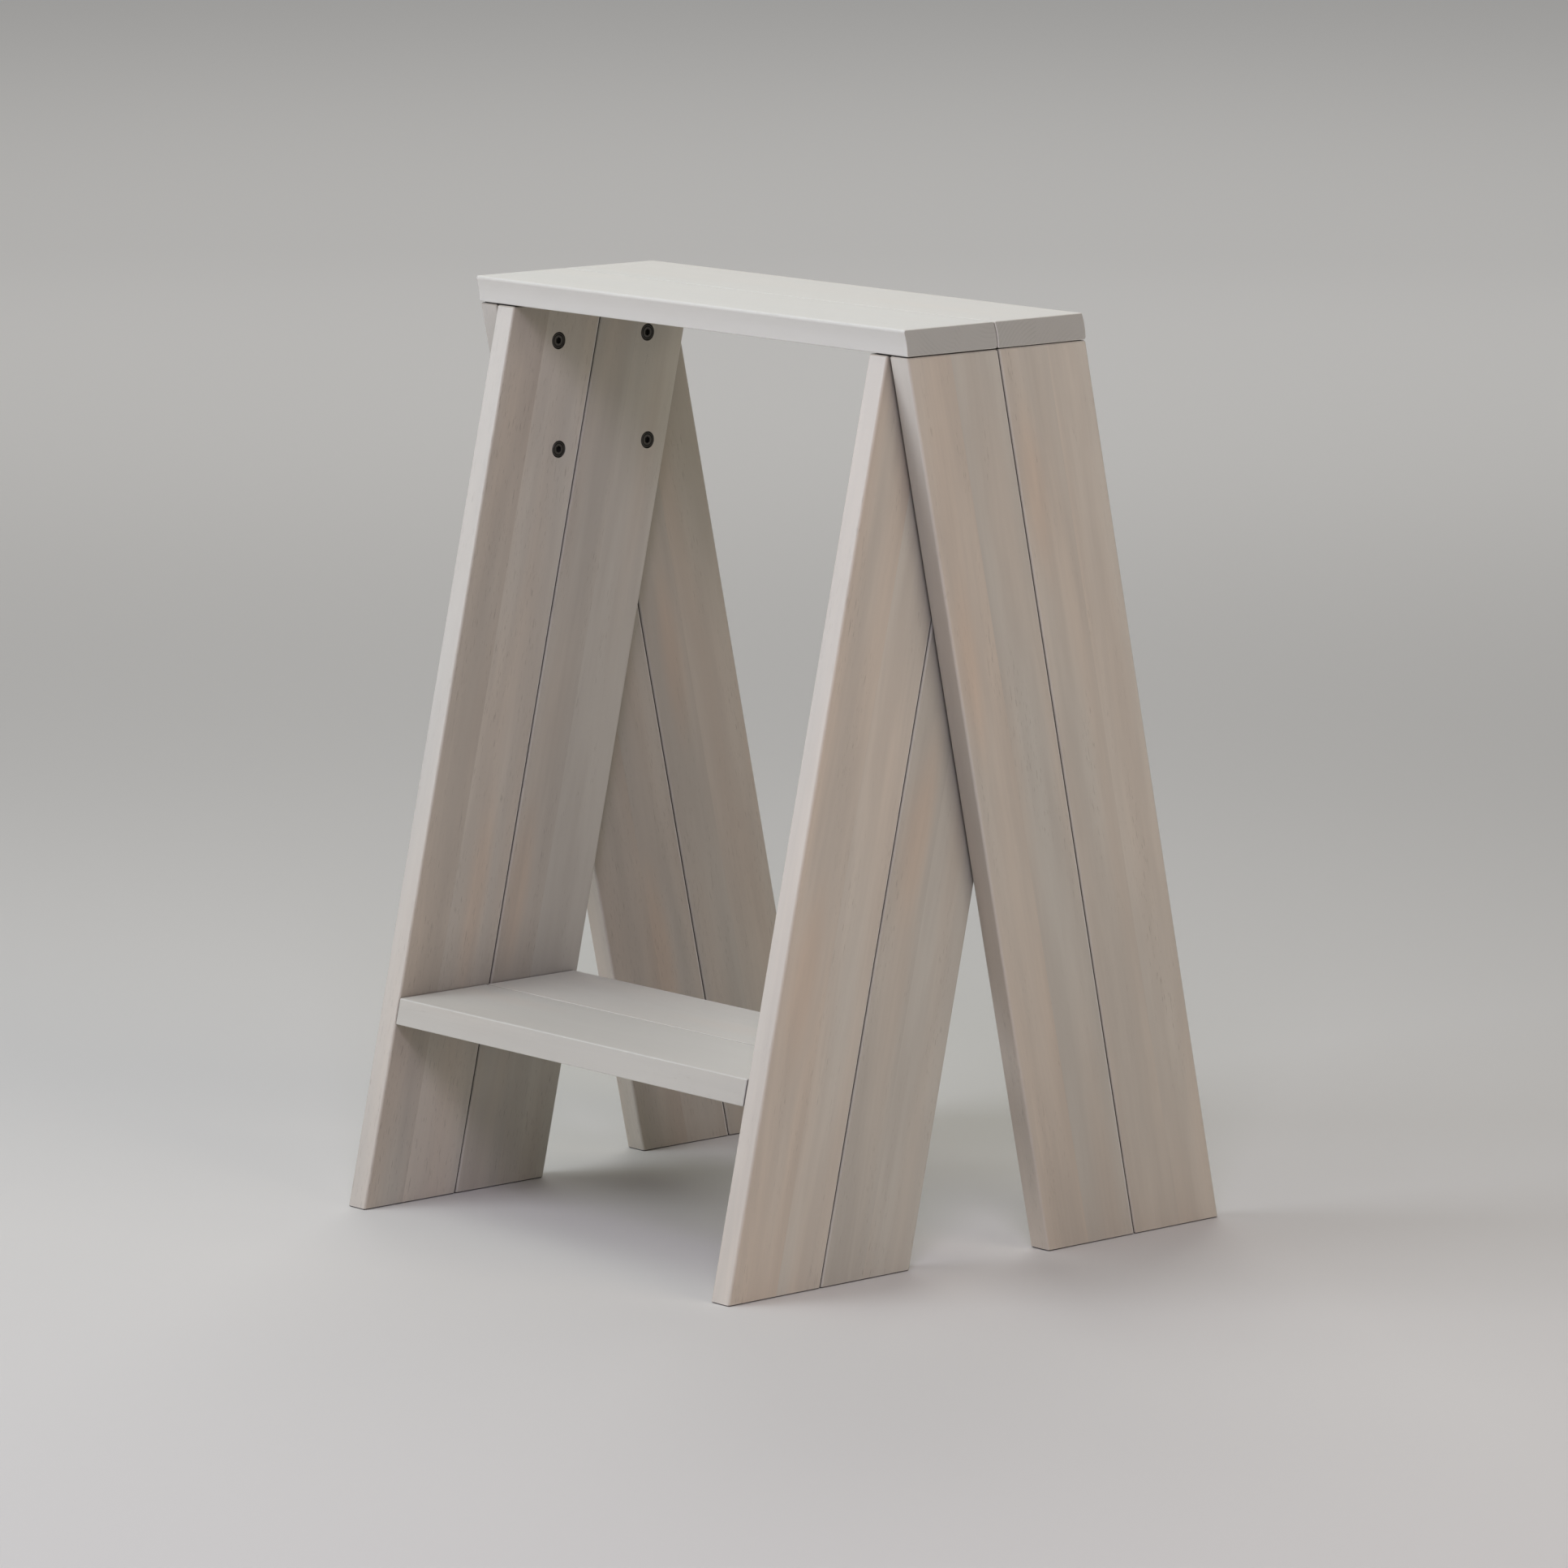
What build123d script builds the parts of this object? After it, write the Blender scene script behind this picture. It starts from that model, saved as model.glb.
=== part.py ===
from build123d import *
import os
from math import cos, radians, sin, tan

# A rigid board-built trestle: a two-board top on two outer leg panels, and a two-board step between
# two inner leg panels. The inner panels are bolted inside the outer ones, with thin washers between
# them, and lean the other way, so each end of the trestle stands on a crossed pair of panels.
#
# Frame: X runs along the top, Y is depth with the inner legs' feet in front (-Y), Z is up.
# The origin is on the floor, under the middle of the top. Lengths are in millimetres.

# Driving dimensions
overall_height = 735
top_length = 505
board_thickness = 20.7
board_widths = {"front": 91.3, "rear": 90.2}  # of the leg and top boards, square to their long edges
step_board_widths = {"front": 90.2, "rear": 91.3}  # measured level
seam_gap = 1  # between the two boards of a pair
panel_gap = 1.6  # between an outer and an inner leg panel, one washer thick
lean_angle = 12.4  # of every leg from the vertical, in degrees
step_height = 168  # floor to the step's upper face

# Shadow lines: the boards stand clear of each other at a joint's rim and meet on a land inside it
top_shadow_gaps = {"front": 1.1, "rear": 0.8}  # between the legs' upper ends and the top
step_shadow_gap = 0.8  # between the step's ends and the inner legs
land_inset = 3

# Edge finish
leg_edge_radius = 2.2
leg_seam_radii = {"front": 1.5, "rear": 2}
leg_end_break = 1
board_end_break = 0.5
top_side_bow = 1  # of the top boards' sides, to the rear at half their height
# Corner radii of a level board's section: lower front, upper front, upper rear, lower rear
top_radii = {"front": (1, 2, 2.6, 2), "rear": (1, 1, 0.8, 2.1)}
step_radii = {"front": (0.8, 1.5, 1.5, 1), "rear": (1, 0.8, 1.5, 1.5)}
step_land_radii = (1, 1, 1, 1)

# Furniture connector bolts, four through each pair of leg panels
bolt_half_spread = 47  # bolt to the middle of the trestle, along Y
bolt_drops = (31.4, 119)  # top's underside down to each bolt
bolt_head_diameter = 12.4
bolt_head_thickness = 3
bolt_head_break = 0.4
ring_groove_diameter = 9.6
ring_groove_width = 0.8
ring_groove_depth = 0.5
socket_across_flats = 5
socket_depth = 2.6
bolt_shank_diameter = 6
bolt_shank_length = 30
bolt_hole_diameter = 6.6
recess_diameter = 14
recess_depth = 3.2

# Plain washers on the bolts, between the panels
washer_diameter = 12
washer_bore_diameter = 6.4

# Threaded inserts, sunk into the outer legs from the face that looks to the inner legs
insert_diameter = 10
insert_bore_diameter = 6.1
insert_length = 13
insert_hole_depth = 14

# Beech dowels, hidden in every joint
dowel_diameter = 8
dowel_hole_diameter = 8.1
dowel_end_break = 0.8
dowel_hole_spare = 1  # each hole runs this much past its dowel's end
joint_dowel_length = 34
joint_dowel_depth = 13  # of a joint dowel in the top or in a leg
joint_dowel_spread = 24  # joint dowel to the middle of its board, along Y
edge_dowel_length = 40
leg_edge_dowel_heights = (90, 330, 530)
top_edge_dowel_places = (-170, 0, 170)
step_edge_dowel_places = (-120, 0, 120)

# Worked out from the above
SIDES = {"left": -1, "right": 1}
LEANS = {"outer": 1, "inner": -1}  # +1 where the foot stands behind the top, -1 in front of it
ROWS = {"front": -1, "rear": 1}
lean = radians(lean_angle)
leg_height = overall_height - board_thickness
level_widths = {row: width / cos(lean) for row, width in board_widths.items()}
panel_width = (sum(board_widths.values()) + seam_gap) / cos(lean)
seam_offset = (level_widths["front"] - level_widths["rear"]) / 2
outer_leg_x = top_length / 2 - board_thickness / 2
mating_face_x = top_length / 2 - board_thickness
inner_leg_x = mating_face_x - panel_gap - board_thickness / 2
step_end_x = mating_face_x - panel_gap - board_thickness
step_low_z = step_height - board_thickness
step_middle_z = step_height - board_thickness / 2
top_middle_z = overall_height - board_thickness / 2
joint_dowel_pair = (-joint_dowel_spread, joint_dowel_spread)
edge_hole_depth = edge_dowel_length / 2 + dowel_hole_spare
shallow_hole_depth = joint_dowel_depth + dowel_hole_spare
deep_hole_depth = joint_dowel_length - joint_dowel_depth + dowel_hole_spare


def panel_y(layer, z):
    """Y of the middle of a leaning panel at height z."""
    return LEANS[layer] * tan(lean) * (leg_height - z)


def board_y(layer, row, z):
    """Y of the middle of one board of a leaning panel at height z."""
    return panel_y(layer, z) + ROWS[row] * (panel_width - level_widths[row]) / 2


def step_seam_y(z):
    """Y of the step's seam at height z; the step's front side is flush with the inner legs'."""
    return panel_y("inner", z) - panel_width / 2 + step_board_widths["front"] + seam_gap / 2


def step_board_y(row, z):
    """Y of the middle of one board of the step at height z."""
    return step_seam_y(z) + ROWS[row] * (seam_gap + step_board_widths[row]) / 2


def bolt_planes(side, rows, x):
    """Planes across the bolts at distance x from the middle, facing inwards."""
    places = [(ROWS[row] * bolt_half_spread, leg_height - drop) for row in rows for drop in bolt_drops]
    return [
        Plane(origin=(SIDES[side] * x, y, z), x_dir=(0, 0, 1), z_dir=(-SIDES[side], 0, 0))
        for y, z in places
    ]


def top_joint_planes(side, rows):
    """Planes on the top's underside, at the dowels into one side's outer legs, facing up."""
    places = [board_y("outer", row, leg_height) + spread for row in rows for spread in joint_dowel_pair]
    return [Plane(origin=(SIDES[side] * outer_leg_x, y, leg_height), z_dir=(0, 0, 1)) for y in places]


def step_joint_planes(side, rows):
    """Planes on an inner leg's inner face, at the dowels into the step, facing inwards."""
    places = [step_board_y(row, step_middle_z) + spread for row in rows for spread in joint_dowel_pair]
    return [
        Plane(origin=(SIDES[side] * step_end_x, y, step_middle_z), z_dir=(-SIDES[side], 0, 0))
        for y in places
    ]


def seam_planes(layer, points, facing):
    """Planes across a seam of that layer's lean at the given points; facing +1 looks to the rear."""
    across = (0, facing * cos(lean), facing * LEANS[layer] * sin(lean))
    return [Plane(origin=point, x_dir=(1, 0, 0), z_dir=across) for point in points]


def leg_seam_points(side, layer):
    """Edge dowel places in one leg panel."""
    x = {"outer": outer_leg_x, "inner": inner_leg_x}[layer]
    return [(SIDES[side] * x, panel_y(layer, z) + seam_offset, z) for z in leg_edge_dowel_heights]


def top_seam_points():
    """Edge dowel places in the top."""
    y = panel_y("outer", top_middle_z) + seam_offset + top_side_bow
    return [(x, y, top_middle_z) for x in top_edge_dowel_places]


def step_seam_points():
    """Edge dowel places in the step."""
    return [(x, step_seam_y(step_middle_z), step_middle_z) for x in step_edge_dowel_places]


def flipped(planes):
    """The same planes, facing the other way."""
    return [Plane(origin=plane.origin, x_dir=plane.x_dir, z_dir=-plane.z_dir) for plane in planes]


def finish_piece(part, node):
    """Labels a piece and writes it."""
    part.label = node
    export_step(part, f"parts/{node}.step")


def leaning_block(layer, x_middle, x_size, y_middle, y_size, z_low, z_high):
    """A block with level ends, leaning with that layer's legs; y_middle is at its lower end."""
    lean_direction = (0, -LEANS[layer] * sin(lean), cos(lean))
    with BuildPart() as block:
        with BuildSketch(Plane.XY.offset(z_low)):
            with Locations((x_middle, y_middle)):
                Rectangle(x_size, y_size)
        extrude(amount=(z_high - z_low) / cos(lean), dir=lean_direction)
    return block.part


def leg_blank(layer, side, row, x, z_high):
    """A leg board up to z_high, with its long edges rounded and its ends eased."""
    y_middle = board_y(layer, row, 0)
    with BuildPart() as board:
        add(leaning_block(layer, SIDES[side] * x, board_thickness, y_middle, level_widths[row], 0, z_high))
        seam_edges = board.edges().filter_by(Plane.XY, reverse=True).sort_by(Axis.Y, reverse=row == "front")
        fillet(seam_edges[:2], leg_seam_radii[row])
        outer_edges = board.edges().filter_by(Plane.XY, reverse=True).sort_by(Axis.Y, reverse=row == "front")
        fillet(outer_edges[-2:], leg_edge_radius)
        chamfer(board.faces().filter_by(Axis.Z).edges(), leg_end_break)
    return board.part


def level_board(layer, y_middle, y_size, z_low, z_high, x_size, bow, radii):
    """A level board along X whose sides lean with that layer's legs; y_middle is at z_low.

    bow carries the middle of both sides to the rear, and radii round the section's corners.
    """
    shift = -LEANS[layer] * tan(lean) * (z_high - z_low)
    front = (y_middle - y_size / 2, y_middle - y_size / 2 + shift)
    rear = (y_middle + y_size / 2, y_middle + y_size / 2 + shift)
    corners = [(front[0], z_low), (front[1], z_high), (rear[1], z_high), (rear[0], z_low)]
    with BuildPart() as board:
        with BuildSketch(Plane.YZ) as section:
            with BuildLine():
                for low, high in (front, rear):
                    middle = ((low + high) / 2 + bow, (z_low + z_high) / 2)
                    if bow:
                        ThreePointArc((low, z_low), middle, (high, z_high))
                    else:
                        Line((low, z_low), (high, z_high))
                Line(corners[0], corners[3])
                Line(corners[1], corners[2])
            make_face()
            for corner, radius in zip(corners, radii):
                fillet(section.vertices().sort_by_distance(corner)[0], radius)
        extrude(amount=x_size / 2, both=True)
        chamfer(board.faces().filter_by(Axis.X).edges(), board_end_break)
    return board.part


def drill_dowel_holes(planes, depth):
    """Blind dowel holes into the open part, from planes that face out of it."""
    with Locations(*planes):
        Hole(dowel_hole_diameter / 2, depth)


def outer_leg_board(side, row):
    """One board of an outer leg panel, with a land under the top and holes for inserts and dowels."""
    x_middle = SIDES[side] * outer_leg_x
    shoulder_z = leg_height - top_shadow_gaps[row]
    land_x = board_thickness - 2 * land_inset
    land_y = level_widths[row] - 2 * land_inset
    land_middle = board_y("outer", row, shoulder_z)
    with BuildPart() as board:
        add(leg_blank("outer", side, row, outer_leg_x, shoulder_z))
        add(leaning_block("outer", x_middle, land_x, land_middle, land_y, shoulder_z, leg_height))
        with Locations(*bolt_planes(side, [row], mating_face_x)):
            Hole(insert_diameter / 2, insert_hole_depth)
        drill_dowel_holes(top_joint_planes(side, [row]), deep_hole_depth)
        drill_dowel_holes(seam_planes("outer", leg_seam_points(side, "outer"), -ROWS[row]), edge_hole_depth)
    finish_piece(board.part, f"{side}_outer_leg_{row}_board")


def inner_leg_board(side, row):
    """One board of an inner leg panel, clear of the top, with recessed bolt holes and dowel holes."""
    with BuildPart() as board:
        add(leg_blank("inner", side, row, inner_leg_x, leg_height - top_shadow_gaps[row]))
        with Locations(*bolt_planes(side, [row], step_end_x)):
            CounterBoreHole(bolt_hole_diameter / 2, recess_diameter / 2, recess_depth)
        drill_dowel_holes(step_joint_planes(side, [row]), shallow_hole_depth)
        drill_dowel_holes(seam_planes("inner", leg_seam_points(side, "inner"), -ROWS[row]), edge_hole_depth)
    finish_piece(board.part, f"{side}_inner_leg_{row}_board")


def top_board(row):
    """One board of the top; its sides carry on the lean of the outer legs."""
    y_middle = board_y("outer", row, leg_height)
    width = level_widths[row]
    with BuildPart() as board:
        add(level_board(
            "outer", y_middle, width, leg_height, overall_height, top_length, top_side_bow, top_radii[row]
        ))
        for side in SIDES:
            drill_dowel_holes(flipped(top_joint_planes(side, [row])), shallow_hole_depth)
        drill_dowel_holes(seam_planes("outer", top_seam_points(), -ROWS[row]), edge_hole_depth)
    finish_piece(board.part, f"top_board_{row}")


def step_board(row):
    """One board of the step; its sides carry on the lean of the inner legs."""
    width = step_board_widths[row]
    y_middle = step_board_y(row, step_low_z)
    rim_length = 2 * (step_end_x - step_shadow_gap)
    land_low_z = step_low_z + land_inset
    land_high_z = step_height - land_inset
    land_middle = step_board_y(row, land_low_z)
    land_width = width - 2 * land_inset
    with BuildPart() as board:
        add(level_board("inner", y_middle, width, step_low_z, step_height, rim_length, 0, step_radii[row]))
        add(level_board(
            "inner", land_middle, land_width, land_low_z, land_high_z, 2 * step_end_x, 0, step_land_radii
        ))
        for side in SIDES:
            drill_dowel_holes(flipped(step_joint_planes(side, [row])), deep_hole_depth)
        drill_dowel_holes(seam_planes("inner", step_seam_points(), -ROWS[row]), edge_hole_depth)
    finish_piece(board.part, f"step_board_{row}")


def connector_bolt():
    """A flat-headed bolt hanging from Z = 0 at the top of its head, with a hexagon socket."""
    with BuildPart() as bolt:
        Cylinder(bolt_head_diameter / 2, bolt_head_thickness, align=(Align.CENTER, Align.CENTER, Align.MAX))
        chamfer(bolt.edges().sort_by(Axis.Z)[-1], bolt_head_break)
        with BuildSketch():
            Circle((ring_groove_diameter + ring_groove_width) / 2)
            Circle((ring_groove_diameter - ring_groove_width) / 2, mode=Mode.SUBTRACT)
        extrude(amount=-ring_groove_depth, mode=Mode.SUBTRACT)
        with BuildSketch():
            RegularPolygon(socket_across_flats / 2, 6, major_radius=False)
        extrude(amount=-socket_depth, mode=Mode.SUBTRACT)
        with BuildSketch(Plane.XY.offset(-bolt_head_thickness)):
            Circle(bolt_shank_diameter / 2)
        extrude(amount=-bolt_shank_length)
    return bolt.part


def leg_bolts(side):
    """The four bolts of one side, their heads sunk in the inner legs."""
    head_top_x = step_end_x + recess_depth - bolt_head_thickness
    with BuildPart() as bolts:
        with Locations(*bolt_planes(side, ROWS, head_top_x)):
            add(connector_bolt())
    finish_piece(bolts.part, f"{side}_leg_bolts")


def bolt_rings(node, side, outer_diameter, bore_diameter, length):
    """Rings on one side's bolts, on the outer legs' inner face; a negative length goes into the legs."""
    with BuildPart() as rings:
        with BuildSketch(*bolt_planes(side, ROWS, mating_face_x)):
            Circle(outer_diameter / 2)
            Circle(bore_diameter / 2, mode=Mode.SUBTRACT)
        extrude(amount=length)
    finish_piece(rings.part, node)


def dowel_set(node, planes, length):
    """Dowels centred on the given planes."""
    with BuildPart() as dowels:
        with Locations(*planes):
            Cylinder(dowel_diameter / 2, length)
        chamfer(dowels.edges().filter_by(GeomType.CIRCLE), dowel_end_break)
    finish_piece(dowels.part, node)


def joint_dowels(side):
    """The dowels of one side that join the top to the outer legs and the step to the inner legs."""
    reach = joint_dowel_length / 2 - joint_dowel_depth
    in_top = [plane.offset(-reach) for plane in top_joint_planes(side, ROWS)]
    in_step = [plane.offset(reach) for plane in step_joint_planes(side, ROWS)]
    dowel_set(f"{side}_top_joint_dowels", in_top, joint_dowel_length)
    dowel_set(f"{side}_step_joint_dowels", in_step, joint_dowel_length)


os.makedirs("parts", exist_ok=True)

for row_name in ROWS:
    top_board(row_name)
    step_board(row_name)
    for side_name in SIDES:
        outer_leg_board(side_name, row_name)
        inner_leg_board(side_name, row_name)

for side_name in SIDES:
    leg_bolts(side_name)
    bolt_rings(f"{side_name}_leg_washers", side_name, washer_diameter, washer_bore_diameter, panel_gap)
    bolt_rings(f"{side_name}_leg_inserts", side_name, insert_diameter, insert_bore_diameter, -insert_length)
    joint_dowels(side_name)
    for layer_name in LEANS:
        panel_planes = seam_planes(layer_name, leg_seam_points(side_name, layer_name), 1)
        dowel_set(f"{side_name}_{layer_name}_leg_edge_dowels", panel_planes, edge_dowel_length)

dowel_set("top_edge_dowels", seam_planes("outer", top_seam_points(), 1), edge_dowel_length)
dowel_set("step_edge_dowels", seam_planes("inner", step_seam_points(), 1), edge_dowel_length)
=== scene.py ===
import bpy
import math
from mathutils import Euler, Matrix, Vector


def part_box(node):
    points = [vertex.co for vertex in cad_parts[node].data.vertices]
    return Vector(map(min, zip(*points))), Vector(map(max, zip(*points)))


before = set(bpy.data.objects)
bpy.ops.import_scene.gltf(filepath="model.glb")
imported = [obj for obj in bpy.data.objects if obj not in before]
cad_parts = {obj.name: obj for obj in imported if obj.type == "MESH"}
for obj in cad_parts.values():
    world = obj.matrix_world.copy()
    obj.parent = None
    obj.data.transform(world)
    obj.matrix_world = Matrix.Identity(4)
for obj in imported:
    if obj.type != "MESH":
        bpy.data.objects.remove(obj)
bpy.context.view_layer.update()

# Driving values. Lengths are in metres, in the same frame as the CAD, and colours are linear.
CAMERA_PLACE = Vector((4.693, -4.188, 1.415))
CAMERA_YAW = 48.189  # degrees to the left of straight back
CAMERA_PITCH = -9.655
CAMERA_ROLL = 0.259
CAMERA_LENS = 184.9  # millimetres on a 36 mm sensor

FLOOR_SIZE = 80.0
FLOOR_COLOUR = (0.720, 0.705, 0.680)
FLOOR_ROUGHNESS = 0.9
ROOM_COLOUR = (0.030, 0.030, 0.030)
HORIZON_COLOUR = (0.270, 0.267, 0.261)
HORIZON_BAND = (0.12, 0.04)  # sine of the height over the horizon where the pale wall begins and is full
FAR_FLOOR = (2.0, 7.0)  # metres from the object between which the floor's own faint glow grows to full

MM = 1000  # millimetres in a metre: wood and metal patterns are sized in millimetres
FACING = (0.75, 0.95)  # how squarely a surface faces an axis, from not counted to fully counted

# Glazed pine: the two tones that it runs between, then what its marks pull them towards
GREY_TONE = (0.590, 0.560, 0.492)
WARM_TONE = (0.660, 0.567, 0.465)
AMBER_TONE = (0.700, 0.550, 0.420)
GLAZE_TONE = (0.780, 0.775, 0.740)
RING_TONE = (0.400, 0.355, 0.305)
FLECK_TONE = (0.200, 0.160, 0.120)
END_TONE = (0.305, 0.302, 0.275)
# painted shade for the joints between boards
CREVICE_SHADE_TONE = (0.036, 0.026, 0.018)
RING_SPACING = 3.2  # millimetres
PITH_DEPTH = 38.0  # millimetres from a board's middle to the heart of its tree
PITH_SWAY = 14.0  # millimetres that the heart may lie off to either side
PITH_TURN = 5  # radians by which that sway moves on from board to board
STAVE_SHIFT = 34.0  # millimetres between the hearts of a board's two staves
BOARD_SEED = 3.7  # how far apart the noise of one board and the next is drawn
STAVE_SEED = 53.0  # the same for a board's two staves
SHADE_SEED = 11.0  # the same for a stave's shade
FLECK_SEED = 7.0  # the same for where its flecks gather
GLUE_LINE = (0.25, 0.05)  # millimetres off the glue line: where its mark begins and is full
WANDER = (26, 26, 0)  # millimetres from the farthest that the grain strays to one side to the other
PATCH_SIZE = (17, 105)  # millimetres from the middle of an amber patch to its edge, across and along
ARRIS_WEAR_AND_HIGHLIGHT = (4.0, 1.4)  # millimetres from an arris: where its rubbed edge and painted highlight begin and are full
SEAM_WEAR_AND_HIGHLIGHT = (3.0, 1.2)  # the same, beside the seam of two boards
ARRIS_WAVER = 3.0  # millimetres by which the width of the rubbing and painted highlight varies
SEAM_WAVER = 1.5
ARRIS_RUB_AND_HIGHLIGHT = 0.2  # how far a rubbed arris with its painted highlight goes to the glaze's tone, from 0 to 1
SEAM_RUB_AND_HIGHLIGHT = 0.38  # the same beside the seam; the front board's gets twice this and the rear board's none, which is a painted highlight on the front board's rounded edge
CREVICE_SHADE_REACH = 2.5  # millimetres: how near a neighbour has to stand for a crevice to get painted shade
CREVICE_SHADE_OPENNESS = (0.58, 0.36)  # how open the surface lies where that painted shade begins and is full
CORNER_SHADE_REACH = 60  # millimetres: how far painted shade spreads out of a corner
CORNER_SHADE_DARKENING = 0.5
WARMTH_SPREAD = 0.9  # how far the broad bands move the warmth
FLECK_GATHERING = 0.16  # how much wider flecks spread on the most flecked board
END_SHARE = 0.63  # how far a cut end goes to its own tone
END_RINGS = 0.10  # how much farther the rings do
END_SANDING = 0.7  # how far a cut end is sanded smooth

# How fine the parts of the wood's figure are, in cycles per millimetre across and along the grain
FIGURE = {
    "drift": (0.014, 0.0022),
    "ring depth": (0.05, 0.003),
    "band": (0.042, 0.0045),
    "shade": (0.060, 0.0060),
    "streak": (0.21, 0.011),
    "fibre": (1.5, 0.055),
    "fleck": (1.7, 0.11),
    "fleck area": (0.06, 0.006),
    "edge_waver": (0.3, 0.07),
    "brushed": (0.11, 0.016),
}
# How far each mark, where it is full, pulls the wood's colour towards its tone
MARKS = {
    "patch": 0.6, "shade": 0.28, "ring": 0.07, "streak": 0.07, "fibre": 0.06, "glue": 0.15, "fleck": 0.36,
}
# How high each part of the surface stands, in millimetres
RELIEF = {"brushed": 0.10, "fibre": 0.035, "ring": -0.02, "fleck": -0.06}
# The smooth glaze's roughness, then what the marks add to it
ROUGHNESS = {"glaze": 0.40, "fibre": 0.16, "end": 0.2, "fleck": 0.15}
SHADE_FREE_FOOT = (0.04, 0.09)  # metres above the floor between which the painted corner shade fades in, so that the feet get none

# Bolts, plated parts and dowels
STEEL_RUBBED = ((0.075, 0.071, 0.064), (0.15, 0.141, 0.127))
STEEL_PIT = (0.035, 0.03, 0.025)
# painted shade for the bolts' sunk socket, groove and rim
STEEL_RECESS_SHADE = (0.026, 0.025, 0.023)
ZINC_TONES = ((0.66, 0.65, 0.60), (0.54, 0.55, 0.55))
ZINC_DULL = (0.40, 0.40, 0.38)
BEECH_TONES = ((0.66, 0.49, 0.33), (0.55, 0.38, 0.24))
BEECH_RAY = (0.36, 0.21, 0.12)

# The soft lights: place, the point aimed at, size in metres, and colour; each has LAMP_WATTS
LAMP_WATTS = 100
LAMPS = {
    "overhead": ((-0.5, -0.7, 3.2), (0, 0, 0.6), 2.6, (0.373, 0.390, 0.371)),
    "front": ((-1.8, -3.6, 1.7), (0, 0, 0.4), 2.4, (0.632, 0.666, 0.743)),
    "key": ((2.8, -2.6, 3.2), (0, 0, 0.4), 1.4, (0.501, 0.466, 0.573)),
    "side": ((3.8, 0.6, 2.4), (0, 0, 0.4), 2.4, (0.379, 0.338, 0.280)),
    "rear": ((-3.2, 2.9, 4.0), (0, 0, 0.6), 3.0, (0.550, 0.547, 0.540)),
    "backdrop": ((-6.0, 5.4, 4.5), (-6.0, 5.4, 0), 6.0, (0.600, 0.597, 0.590)),
}

# Where the Mix node keeps its two colours and its result
MIX_FIRST, MIX_SECOND, MIX_RESULT = 6, 7, 2

LAYERS = {"outer": 1, "inner": -1}  # +1 where the foot stands behind the top
SIDES = ("left", "right")
ROWS = ("front", "rear")
SEAM_GAP = 0.001  # metres between the two boards of a pair


# ---------------------------------------------------------------- boards and their grain space

def box_size(node):
    """A node's size along X, Y and Z."""
    low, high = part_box(node)
    return high - low


def leg_lean():
    """The legs' lean, from how far the two boards of a panel overlap in Y."""
    front_low, front_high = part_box("right_outer_leg_front_board")
    rear_low, rear_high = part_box("right_outer_leg_rear_board")
    return math.atan((front_high.y - rear_low.y + SEAM_GAP) / (front_high.z - front_low.z))


LEAN = leg_lean()


class Board:
    """One board: its middle, half its size, the turn that brings its grain onto local Z, and its ends.

    end_axis is the row axis that its end cuts face: 2 on a leg, 0 on a flat board.
    """

    def __init__(self, node, turn, half_size, end_axis):
        low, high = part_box(node)
        self.node = node
        self.middle = (low + high) / 2
        self.turn = turn
        self.half_size = half_size
        self.end_axis = end_axis
        self.half_span = (high - low)[end_axis] / 2


def leg_board(side, layer, row):
    """A leg's board; its grain leans with the leg."""
    node = f"{side}_{layer}_leg_{row}_board"
    size = box_size(node)
    width = (size.y - size.z * math.tan(LEAN)) * math.cos(LEAN)
    length = size.z / math.cos(LEAN)
    turn = Euler((LAYERS[layer] * LEAN, 0, 0))
    return Board(node, turn, (size.x / 2, width / 2, length / 2), 2)


def flat_board(node):
    """A board of the top or the step; its grain runs along X."""
    size = box_size(node)
    width = size.y - size.z * math.tan(LEAN)
    turn = Euler((0, -math.pi / 2, 0))
    return Board(node, turn, (size.z / 2, width / 2, size.x / 2), 0)


BOARDS = [leg_board(side, layer, row) for side in SIDES for layer in LAYERS for row in ROWS]
BOARDS += [flat_board(f"{part}_board_{row}") for part in ("top", "step") for row in ROWS]

# Each board is glued up from two staves. Per board: the glue line's distance from its middle towards
# the rear, in millimetres; then, front stave first, how warm each stave is, from 0 to 1, and how light
# it is against the others; then where an amber patch lies, across and along from the board's middle,
# in millimetres; then how thickly dark flecks lie on it, from 0 to 1
STAVES = {
    "right_outer_leg_front_board": (-3, (0.62, 0.33), (1.01, 1.00), (-31, 118), 0.1),
    "right_outer_leg_rear_board": (3, (0.46, 0.46), (1.02, 1.07), (-30, 260), 0.1),
    "right_inner_leg_front_board": (1, (0.72, 0.42), (1.02, 1.09), (-22, -120), 0.3),
    "right_inner_leg_rear_board": (-4, (0.20, 0.16), (0.95, 1.02), (-25, -20), 0.2),
    "left_inner_leg_front_board": (-8, (0.57, 0.50), (0.95, 1.09), (14, -110), 1.0),
    "left_inner_leg_rear_board": (-5, (0.32, 0.10), (0.97, 1.03), (-30, -130), 0.4),
    # The left outer leg's boards are given a low lightness as painted shade
    "left_outer_leg_front_board": (2, (0.60, 0.40), (0.81, 0.83), (10, -200), 0.8),
    "left_outer_leg_rear_board": (-4, (0.35, 0.55), (0.82, 0.86), (-20, 60), 0.4),
    "top_board_front": (4, (0.10, 0.20), (1.05, 1.04), (30, 210), 0.0),
    "top_board_rear": (-5, (0.50, 0.65), (1.00, 0.98), (-10, -120), 0.0),
    "step_board_front": (-4, (0.00, 0.00), (0.94, 0.95), (20, 150), 0.0),
    "step_board_rear": (3, (0.20, 0.10), (1.03, 1.00), (-15, -60), 0.2),
}


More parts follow.
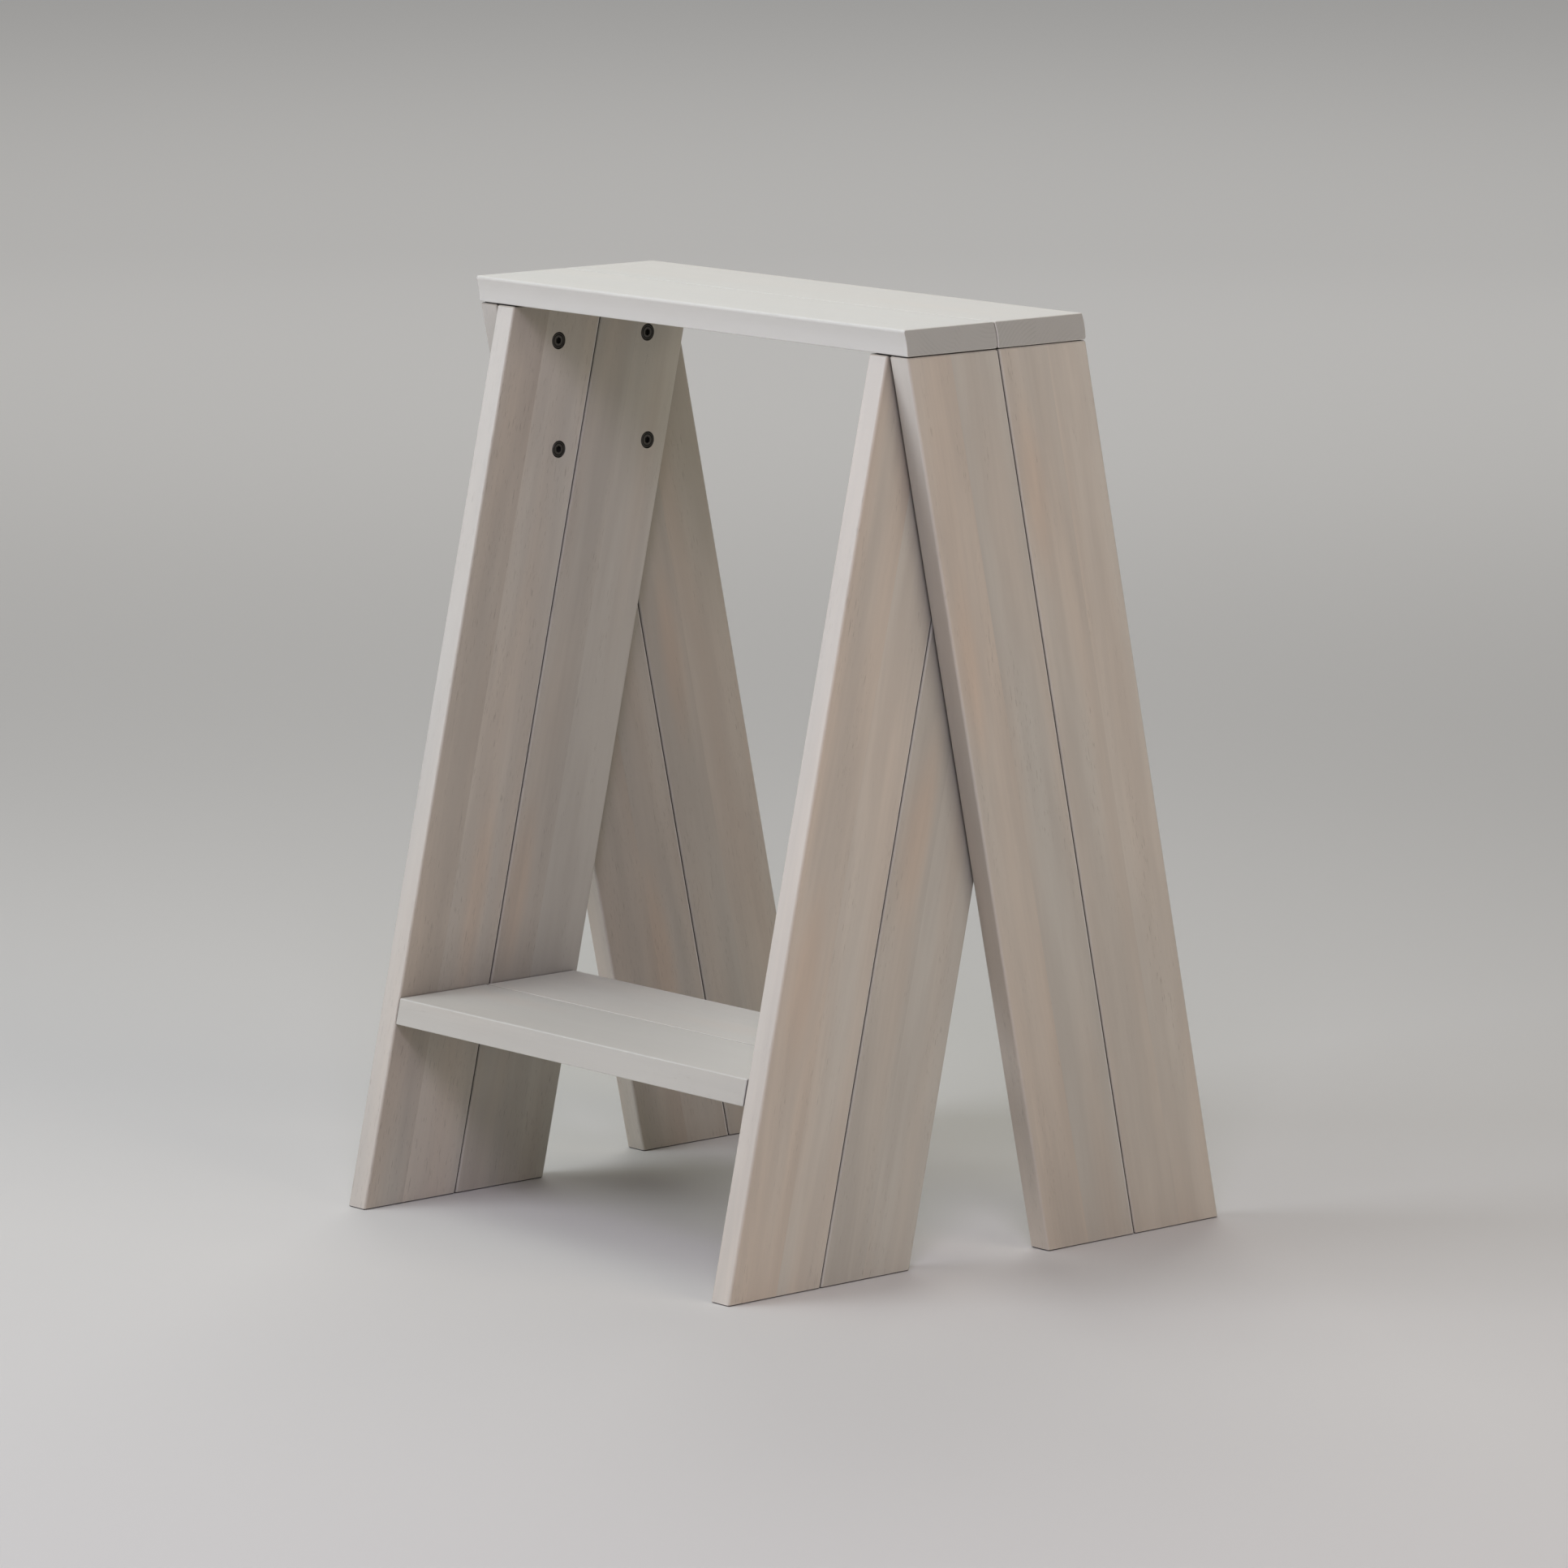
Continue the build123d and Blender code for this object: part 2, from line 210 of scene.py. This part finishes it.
class Finish:
    """How one kind of part was glazed, and how far its grain, its edges' wear and painted highlight, and
    the painted shade in its joints and corners show.

    The glazes are shares of white: on the broad faces, where the top's and the step's share is partly a
    painted sheen, on the narrow sides halfway along the part, and how much more there is on the sides
    towards its upper end; the sides' share and its rise are partly painted light.
    """

    def __init__(self, face_glaze_and_sheen, side_glaze_and_light, side_light_rise, grain_contrast, edge_contrast):
        self.face_glaze_and_sheen = face_glaze_and_sheen
        self.side_glaze_and_light = side_glaze_and_light
        self.side_light_rise = side_light_rise
        self.grain_contrast = grain_contrast
        self.edge_contrast = edge_contrast


FINISHES = {
    "outer": Finish(0.0, 0.08, 0.22, grain_contrast=1.0, edge_contrast=1.0),
    "inner": Finish(0.0, 0.28, 0.12, grain_contrast=1.0, edge_contrast=1.0),
    "top": Finish(0.72, 0.44, 0.0, grain_contrast=0.4, edge_contrast=0.12),
    "step": Finish(0.50, 0.04, 0.0, grain_contrast=0.45, edge_contrast=0.22),
}


# ---------------------------------------------------------------- node helpers

class Graph:
    """A node tree with short calls that add a node, feed its inputs and give its output."""

    def __init__(self, tree):
        self.tree = tree

    def add(self, kind, *values, **settings):
        node = self.tree.nodes.new("ShaderNode" + kind)
        for name, value in settings.items():
            setattr(node, name, value)
        for socket, value in zip(node.inputs, values):
            self.feed(socket, value)
        return node

    def feed(self, socket, value):
        if isinstance(value, bpy.types.NodeSocket):
            self.tree.links.new(value, socket)
        else:
            socket.default_value = value

    def math(self, operation, *values):
        return self.add("Math", *values, operation=operation).outputs[0]

    def vector(self, operation, *values):
        node = self.add("VectorMath", *values, operation=operation)
        return node.outputs["Value" if operation in ("LENGTH", "DOT_PRODUCT") else "Vector"]

    def times(self, vector, factor):
        node = self.add("VectorMath", vector, operation="SCALE")
        self.feed(node.inputs["Scale"], factor)
        return node.outputs["Vector"]

    def scaled(self, place, across, along):
        """place with its grain direction stretched against the other two."""
        return self.vector("MULTIPLY", place, (across, across, along))

    def noise(self, place, seed, detail=2.0, roughness=0.5):
        node = self.add("TexNoise", place, seed, noise_dimensions="4D")
        node.inputs["Scale"].default_value = 1
        node.inputs["Detail"].default_value = detail
        node.inputs["Roughness"].default_value = roughness
        return node

    def between(self, share, first, second):
        """first where share is 0 and second where it is 1."""
        return self.math("MULTIPLY_ADD", self.math("SUBTRACT", second, first), share, first)

    def ease(self, value, start, end):
        """0 at start and 1 at end, with a smooth run between; start may be the larger."""
        node = self.add("MapRange", value, interpolation_type="SMOOTHSTEP")
        node.inputs["From Min"].default_value = min(start, end)
        node.inputs["From Max"].default_value = max(start, end)
        node.inputs["To Min"].default_value = float(start > end)
        node.inputs["To Max"].default_value = float(start < end)
        return node.outputs[0]

    def openness(self, reach):
        """How open the surface lies: 1 in the open and less in a corner; reach is in millimetres."""
        node = self.add("AmbientOcclusion", samples=4)
        node.inputs["Distance"].default_value = reach / MM
        return node.outputs["AO"]

    def blend(self, share, first, second):
        """The first colour where share is 0 and the second where it is 1."""
        node = self.add("Mix", data_type="RGBA")
        self.feed(node.inputs["Factor"], share)
        self.feed(node.inputs[MIX_FIRST], first)
        self.feed(node.inputs[MIX_SECOND], second)
        return node.outputs[MIX_RESULT]


def opaque(colour):
    """A colour with the alpha that Blender's sockets want after it."""
    return (*colour, 1)


def new_material(name):
    """A node material with a Principled shader; gives the material, its graph and the shader."""
    material = bpy.data.materials.new(name)
    material.use_nodes = True
    material.node_tree.nodes.clear()
    graph = Graph(material.node_tree)
    shader = graph.add("BsdfPrincipled")
    graph.add("OutputMaterial", shader.outputs[0])
    return material, graph, shader


def new_group(name, inputs, outputs):
    """A node group; inputs and outputs are (name, socket type) pairs. Gives its graph and both ends."""
    tree = bpy.data.node_groups.new(name, "ShaderNodeTree")
    for socket_name, kind in inputs:
        tree.interface.new_socket(socket_name, in_out="INPUT", socket_type="NodeSocket" + kind)
    for socket_name, kind in outputs:
        tree.interface.new_socket(socket_name, in_out="OUTPUT", socket_type="NodeSocket" + kind)
    entry = tree.nodes.new("NodeGroupInput")
    exit_node = tree.nodes.new("NodeGroupOutput")
    return Graph(tree), entry.outputs, exit_node.inputs


def raise_surface(graph, shader, height):
    """Bumps the shader's surface; height is in millimetres."""
    bump = graph.add("Bump")
    bump.inputs["Strength"].default_value = 1
    bump.inputs["Distance"].default_value = 1 / MM
    graph.feed(bump.inputs["Height"], height)
    graph.feed(shader.inputs["Normal"], bump.outputs[0])


def give(node_name, material):
    """Puts a material on a CAD node's own slots."""
    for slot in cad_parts[node_name].material_slots:
        slot.link = "OBJECT"
        slot.material = material


# ---------------------------------------------------------------- glazed pine

def make_pine():
    """The pine pattern, from a place in a board's own space, in millimetres with the grain on Z."""
    vectors = ("Place", "Half size", "Pith", "Patch")
    numbers = (
        "End distance", "End cut", "Glue line", "Front warmth", "Rear warmth", "Front lightness",
        "Rear lightness", "Glaze and painted light", "Flecks", "Grain contrast", "Edge contrast", "Corner shade", "Seam side",
        "Seed",
    )
    inputs = [(name, "Vector") for name in vectors] + [(name, "Float") for name in numbers]
    outputs = (("Colour", "Color"), ("Roughness", "Float"), ("Height", "Float"))
    g, given, result = new_group("pine", inputs, outputs)
    place = given["Place"]
    across = g.add("SeparateXYZ", place).outputs[1]

    def mark(colour, share, strength, tone):
        """colour, pulled towards a tone where share is high; strength is for a part with full grain."""
        strength = g.math("MULTIPLY", given["Grain contrast"], strength)
        return g.blend(g.math("MULTIPLY", share, strength), colour, opaque(tone))

    # Two staves, each with its own grain, warmth and lightness
    past_glue = g.math("SUBTRACT", across, given["Glue line"])
    is_rear = g.math("GREATER_THAN", past_glue, 0.0)
    glue = g.ease(g.math("ABSOLUTE", past_glue), *GLUE_LINE)
    seed = g.math("MULTIPLY_ADD", is_rear, STAVE_SEED, given["Seed"])
    warmth = g.between(is_rear, given["Front warmth"], given["Rear warmth"])
    lightness = g.between(is_rear, given["Front lightness"], given["Rear lightness"])
    stave_shift = g.add("CombineXYZ", 0, g.math("MULTIPLY", is_rear, STAVE_SHIFT), 0).outputs[0]
    pith = g.vector("ADD", given["Pith"], stave_shift)

    # The trunk wasn't straight: every line of the grain wanders
    drift = g.noise(g.scaled(place, *FIGURE["drift"]), seed, 1).outputs["Color"]
    wander = g.vector("MULTIPLY", g.vector("SUBTRACT", drift, (0.5, 0.5, 0.5)), WANDER)
    wandered = g.vector("ADD", place, wander)

    # Growth rings round the pith
    outwards = g.vector("MULTIPLY", g.vector("SUBTRACT", wandered, pith), (1, 1, 0))
    ring_count = g.math("DIVIDE", g.vector("LENGTH", outwards), RING_SPACING)
    ring_part = g.math("FRACT", ring_count)
    ring = g.math("MULTIPLY", g.ease(ring_part, 0.35, 0.92), g.ease(ring_part, 1.0, 0.93))
    ring_depth = g.ease(g.noise(g.scaled(wandered, *FIGURE["ring depth"]), seed, 1).outputs[0], 0.3, 0.75)
    ring = g.math("MULTIPLY", ring, ring_depth)

    # Broad bands of warmth and of shade, one amber patch, narrower streaks and fine fibres
    band = g.noise(g.scaled(wandered, *FIGURE["band"]), seed, 0).outputs[0]
    warmth = g.math("MULTIPLY_ADD", g.math("SUBTRACT", band, 0.5), WARMTH_SPREAD, warmth)
    to_patch_edge = (0, 1 / PATCH_SIZE[0], 1 / PATCH_SIZE[1])
    from_patch = g.vector("MULTIPLY", g.vector("SUBTRACT", wandered, given["Patch"]), to_patch_edge)
    patch = g.ease(g.vector("LENGTH", from_patch), 1.0, 0.15)
    shade = g.noise(g.scaled(wandered, *FIGURE["shade"]), g.math("ADD", seed, SHADE_SEED), 2).outputs[0]
    streak = g.noise(g.scaled(wandered, *FIGURE["streak"]), seed, 2, 0.6).outputs[0]
    fibre = g.noise(g.scaled(wandered, *FIGURE["fibre"]), seed, 3, 0.6).outputs[0]

    # Short dark flecks that gather in places
    fleck_field = g.noise(g.scaled(wandered, *FIGURE["fleck"]), seed, 1).outputs[0]
    area_seed = g.math("ADD", seed, FLECK_SEED)
    fleck_area = g.noise(g.scaled(wandered, *FIGURE["fleck area"]), area_seed, 2).outputs[0]
    fleck_area = g.math("MULTIPLY_ADD", given["Flecks"], FLECK_GATHERING, fleck_area)
    fleck = g.math("MULTIPLY", g.ease(fleck_field, 0.62, 0.72), g.ease(fleck_area, 0.50, 0.66))

    # The arrises are rubbed pale and carry a painted highlight, most of all the front board's along the
    # seam. The distance to an arris is the middle one of the three distances to a board's faces
    half_size = g.add("SeparateXYZ", given["Half size"]).outputs
    inside = g.vector("SUBTRACT", given["Half size"], g.vector("ABSOLUTE", place))
    depth = g.add("SeparateXYZ", inside).outputs
    nearer = g.math("MINIMUM", depth[0], depth[1])
    farther = g.math("MAXIMUM", depth[0], depth[1])
    arris = g.math("MAXIMUM", nearer, g.math("MINIMUM", farther, given["End distance"]))
    edge_waver = g.noise(g.scaled(place, *FIGURE["edge_waver"]), seed, 3, 0.65).outputs[0]
    wear_and_highlight = g.ease(g.math("MULTIPLY_ADD", edge_waver, ARRIS_WAVER, arris), *ARRIS_WEAR_AND_HIGHLIGHT)
    to_seam = g.math("SUBTRACT", half_size[1], g.math("MULTIPLY", across, given["Seam side"]))
    seam_arris = g.math("MAXIMUM", to_seam, depth[0])
    seam_wear_and_highlight = g.ease(g.math("MULTIPLY_ADD", edge_waver, SEAM_WAVER, seam_arris), *SEAM_WEAR_AND_HIGHLIGHT)
    seam_strength = g.math("MULTIPLY_ADD", given["Seam side"], SEAM_RUB_AND_HIGHLIGHT, SEAM_RUB_AND_HIGHLIGHT)
    wear_and_highlight = g.math("MULTIPLY", wear_and_highlight, ARRIS_RUB_AND_HIGHLIGHT)
    seam_wear_and_highlight = g.math("MULTIPLY", seam_wear_and_highlight, seam_strength)
    wear_and_highlight = g.math("MAXIMUM", wear_and_highlight, seam_wear_and_highlight)
    wear_and_highlight = g.math("MULTIPLY", wear_and_highlight, given["Edge contrast"])

    # Painted shade darkens the joints, where two boards stand a hair apart, and more painted shade
    # darkens the corners
    crevice_shade = g.math("MULTIPLY", g.ease(g.openness(CREVICE_SHADE_REACH), *CREVICE_SHADE_OPENNESS), given["Edge contrast"])
    corner_shade = g.math("MULTIPLY", g.math("SUBTRACT", 1.0, g.openness(CORNER_SHADE_REACH)), given["Corner shade"])

    colour = g.blend(g.ease(warmth, 0.0, 1.0), opaque(GREY_TONE), opaque(WARM_TONE))
    colour = mark(colour, patch, MARKS["patch"], AMBER_TONE)
    colour = mark(colour, g.ease(shade, 0.68, 0.32), MARKS["shade"], RING_TONE)
    colour = mark(colour, ring, MARKS["ring"], RING_TONE)
    colour = mark(colour, g.ease(streak, 0.66, 0.34), MARKS["streak"], RING_TONE)
    colour = mark(colour, g.ease(fibre, 0.62, 0.22), MARKS["fibre"], RING_TONE)
    colour = mark(colour, glue, MARKS["glue"], RING_TONE)
    colour = mark(colour, fleck, MARKS["fleck"], FLECK_TONE)
    # The white share on the top's and the step's faces is partly painted sheen, and on the narrow sides
    # partly painted light
    colour = g.blend(given["Glaze and painted light"], g.times(colour, lightness), opaque(GLAZE_TONE))
    end_share = g.math("MULTIPLY", given["End cut"], g.math("MULTIPLY_ADD", ring, END_RINGS, END_SHARE))
    colour = g.blend(end_share, colour, opaque(END_TONE))
    # Rubbed arrises, partly wear and partly painted highlight
    colour = g.blend(wear_and_highlight, colour, opaque(GLAZE_TONE))
    # Painted corner shade darkens the colour
    colour = g.times(colour, g.math("MULTIPLY_ADD", corner_shade, -CORNER_SHADE_DARKENING, 1.0))
    g.feed(result["Colour"], g.blend(crevice_shade, colour, opaque(CREVICE_SHADE_TONE)))

    roughness = g.math("MULTIPLY_ADD", fibre, ROUGHNESS["fibre"], ROUGHNESS["glaze"])
    roughness = g.math("MULTIPLY_ADD", given["End cut"], ROUGHNESS["end"], roughness)
    g.feed(result["Roughness"], g.math("MULTIPLY_ADD", fleck, ROUGHNESS["fleck"], roughness))

    brushed = g.noise(g.scaled(place, *FIGURE["brushed"]), seed, 2).outputs[0]
    height = g.math("MULTIPLY", brushed, RELIEF["brushed"])
    height = g.math("MULTIPLY_ADD", fibre, RELIEF["fibre"], height)
    height = g.math("MULTIPLY_ADD", ring, RELIEF["ring"], height)
    height = g.math("MULTIPLY_ADD", fleck, RELIEF["fleck"], height)
    sanded = g.math("MULTIPLY_ADD", given["End cut"], -END_SANDING, 1.0)
    g.feed(result["Height"], g.math("MULTIPLY", height, sanded))
    return g.tree


def pine_wood(board, number, pattern):
    """The pine material of one board, cut from its own part of a tree."""
    material, g, shader = new_material("pine_" + board.node)
    coordinates = g.add("TexCoord").outputs
    mapping = g.add("Mapping", coordinates["Object"], board.middle, board.turn, vector_type="TEXTURE")
    place = g.vector("MULTIPLY", mapping.outputs[0], (MM, MM, MM))
    offset = g.vector("SUBTRACT", coordinates["Object"], board.middle)
    from_middle = g.math("ABSOLUTE", g.add("SeparateXYZ", offset).outputs[board.end_axis])
    to_end = g.math("MULTIPLY", g.math("SUBTRACT", board.half_span, from_middle), MM)
    facing = g.add("SeparateXYZ", coordinates["Normal"]).outputs

    glue_line, warmths, lightnesses, (patch_across, patch_along), flecks = STAVES[board.node]
    finish = next(FINISHES[kind] for kind in FINISHES if kind in board.node)
    half_size = [half * MM for half in board.half_size]
    along = g.add("SeparateXYZ", place).outputs[2]
    # The narrow sides get more white, rising towards the upper end, as painted light
    side_glaze_and_light = g.math("MULTIPLY_ADD", along, finish.side_light_rise / half_size[2], finish.side_glaze_and_light)
    on_side = g.ease(g.math("ABSOLUTE", facing[1]), *FACING)
    # Painted shade for the corners, faded in above the feet
    height = g.add("SeparateXYZ", coordinates["Object"]).outputs[2]
    corner_shade_share = g.math("MULTIPLY", g.ease(height, *SHADE_FREE_FOOT), finish.edge_contrast)

    pine = g.add("Group", node_tree=pattern)
    g.feed(pine.inputs["Place"], place)
    g.feed(pine.inputs["End distance"], to_end)
    g.feed(pine.inputs["End cut"], g.ease(g.math("ABSOLUTE", facing[board.end_axis]), *FACING))
    g.feed(pine.inputs["Glaze and painted light"], g.between(on_side, finish.face_glaze_and_sheen, side_glaze_and_light))
    g.feed(pine.inputs["Corner shade"], corner_shade_share)
    fixed = {
        "Half size": half_size,
        "Pith": (PITH_DEPTH * (-1) ** number, PITH_SWAY * math.sin(PITH_TURN * number), 0),
        "Patch": (0, patch_across, patch_along),
        "Glue line": glue_line,
        "Front warmth": warmths[0],
        "Rear warmth": warmths[1],
        "Front lightness": lightnesses[0],
        "Rear lightness": lightnesses[1],
        "Flecks": flecks,
        "Grain contrast": finish.grain_contrast,
        "Edge contrast": finish.edge_contrast,
        "Seam side": 1 if "front" in board.node else -1,
        "Seed": BOARD_SEED * number,
    }
    for socket_name, value in fixed.items():
        pine.inputs[socket_name].default_value = value

    g.feed(shader.inputs["Base Color"], pine.outputs["Colour"])
    g.feed(shader.inputs["Roughness"], pine.outputs["Roughness"])
    raise_surface(g, shader, pine.outputs["Height"])
    return material


pine_pattern = make_pine()
for board_number, board in enumerate(BOARDS):
    give(board.node, pine_wood(board, board_number, pine_pattern))


# ---------------------------------------------------------------- bolts, washers, inserts and dowels

def bolt_steel(node):
    """Dark steel with a rubbed face; the socket, the groove and the head's rim are painted black as shade
    in these recesses.
    """
    material, g, shader = new_material("steel_" + node)
    low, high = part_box(node)
    face = min(abs(low.x), abs(high.x))
    place = g.vector("MULTIPLY", g.add("TexCoord").outputs["Object"], (MM, MM, MM))
    sunk = g.math("SUBTRACT", g.math("ABSOLUTE", g.add("SeparateXYZ", place).outputs[0]), face * MM)
    blotch = g.noise(g.scaled(place, 0.45, 0.45), 0, 3, 0.6).outputs[0]
    speck = g.noise(g.scaled(place, 4.0, 4.0), 1, 2, 0.7).outputs[0]
    # Painted shade: black where the head sinks below its face
    recess_shade = g.ease(g.math("ADD", sunk, g.math("MULTIPLY", speck, 0.10)), 0.12, 0.34)
    rubbed = g.blend(blotch, *map(opaque, STEEL_RUBBED))
    rubbed = g.blend(g.ease(speck, 0.62, 0.72), rubbed, opaque(STEEL_PIT))
    g.feed(shader.inputs["Base Color"], g.blend(recess_shade, rubbed, opaque(STEEL_RECESS_SHADE)))
    bare = g.math("SUBTRACT", 1.0, recess_shade)
    g.feed(shader.inputs["Metallic"], bare)
    g.feed(shader.inputs["Specular IOR Level"], g.math("MULTIPLY", bare, 0.5))
    g.feed(shader.inputs["Roughness"], g.math("MULTIPLY_ADD", blotch, 0.22, 0.30))
    raise_surface(g, shader, g.math("MULTIPLY", speck, 0.012))
    return material


def zinc_plate():
    """Bright zinc with the soft spangle and dull patches of small plated parts."""
    material, g, shader = new_material("zinc")
    place = g.vector("MULTIPLY", g.add("TexCoord").outputs["Object"], (MM, MM, MM))
    spangle = g.noise(g.scaled(place, 1.2, 1.2), 2, 3, 0.6).outputs[0]
    patch = g.noise(g.scaled(place, 0.2, 0.2), 5, 2).outputs[0]
    colour = g.blend(patch, *map(opaque, ZINC_TONES))
    colour = g.blend(g.ease(spangle, 0.6, 0.75), colour, opaque(ZINC_DULL))
    g.feed(shader.inputs["Base Color"], colour)
    shader.inputs["Metallic"].default_value = 1
    g.feed(shader.inputs["Roughness"], g.math("MULTIPLY_ADD", spangle, 0.25, 0.22))
    raise_surface(g, shader, g.math("MULTIPLY", spangle, 0.008))
    return material


def beech():
    """Raw beech with its short brown rays."""
    material, g, shader = new_material("beech")
    place = g.vector("MULTIPLY", g.add("TexCoord").outputs["Object"], (MM, MM, MM))
    grain = g.noise(g.scaled(place, 0.8, 0.8), 3, 3, 0.6).outputs[0]
    ray = g.noise(g.scaled(place, 2.6, 0.5), 9, 1).outputs[0]
    colour = g.blend(grain, *map(opaque, BEECH_TONES))
    colour = g.blend(g.ease(ray, 0.62, 0.72), colour, opaque(BEECH_RAY))
    g.feed(shader.inputs["Base Color"], colour)
    g.feed(shader.inputs["Roughness"], g.math("MULTIPLY_ADD", grain, 0.2, 0.5))
    raise_surface(g, shader, g.math("MULTIPLY", grain, 0.03))
    return material


zinc = zinc_plate()
raw_beech = beech()
for side in SIDES:
    give(f"{side}_leg_bolts", bolt_steel(f"{side}_leg_bolts"))
    give(f"{side}_leg_washers", zinc)
    give(f"{side}_leg_inserts", zinc)
for node_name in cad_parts:
    if node_name.endswith("dowels"):
        give(node_name, raw_beech)


# ---------------------------------------------------------------- floor, light and camera

def make_floor():
    """A plain pale floor to the horizon; it glows faintly far out, where the soft lights don't reach."""
    mesh = bpy.data.meshes.new("floor")
    half = FLOOR_SIZE / 2
    corners = [(-half, -half, 0), (half, -half, 0), (half, half, 0), (-half, half, 0)]
    mesh.from_pydata(corners, [], [(0, 1, 2, 3)])
    floor = bpy.data.objects.new("floor", mesh)
    bpy.context.scene.collection.objects.link(floor)
    material, g, shader = new_material("floor")
    shader.inputs["Base Color"].default_value = opaque(FLOOR_COLOUR)
    shader.inputs["Roughness"].default_value = FLOOR_ROUGHNESS
    shader.inputs["Emission Color"].default_value = opaque(HORIZON_COLOUR)
    distance = g.vector("LENGTH", g.add("TexCoord").outputs["Object"])
    g.feed(shader.inputs["Emission Strength"], g.ease(distance, *FAR_FLOOR))
    mesh.materials.append(material)


def light_room():
    """A dim plain room whose walls are pale near the floor."""
    world = bpy.data.worlds.new("studio")
    bpy.context.scene.world = world
    world.use_nodes = True
    g = Graph(world.node_tree)
    height = g.add("SeparateXYZ", g.add("TexCoord").outputs["Generated"]).outputs[2]
    colour = g.blend(g.ease(height, *HORIZON_BAND), opaque(ROOM_COLOUR), opaque(HORIZON_COLOUR))
    g.feed(world.node_tree.nodes["Background"].inputs["Color"], colour)


def softbox(name, place, target, size, colour):
    """A square soft light at place, turned towards target."""
    lamp = bpy.data.lights.new(name, "AREA")
    lamp.shape = "SQUARE"
    lamp.size = size
    lamp.energy = LAMP_WATTS
    lamp.color = colour
    holder = bpy.data.objects.new(name, lamp)
    holder.location = place
    aim = Vector(target) - Vector(place)
    holder.rotation_euler = aim.to_track_quat("-Z", "Y").to_euler()
    bpy.context.scene.collection.objects.link(holder)


def make_camera():
    """The camera at the photograph's angle."""
    yaw, pitch, roll = (math.radians(a) for a in (CAMERA_YAW, CAMERA_PITCH, CAMERA_ROLL))
    forward = Vector((-math.sin(yaw) * math.cos(pitch), math.cos(yaw) * math.cos(pitch), math.sin(pitch)))
    level = Vector((math.cos(yaw), math.sin(yaw), 0))
    upright = level.cross(forward)
    right = level * math.cos(roll) + upright * math.sin(roll)
    up = upright * math.cos(roll) - level * math.sin(roll)
    lens = bpy.data.cameras.new("camera")
    lens.lens = CAMERA_LENS
    lens.sensor_width = 36
    lens.clip_end = FLOOR_SIZE * 2
    camera = bpy.data.objects.new("camera", lens)
    turn = Matrix((right, up, -forward)).transposed().to_4x4()
    camera.matrix_world = Matrix.Translation(CAMERA_PLACE) @ turn
    bpy.context.scene.collection.objects.link(camera)
    bpy.context.scene.camera = camera


make_floor()
light_room()
for lamp_name, lamp in LAMPS.items():
    softbox(lamp_name, *lamp)
make_camera()
bpy.context.scene.view_settings.view_transform = "Standard"
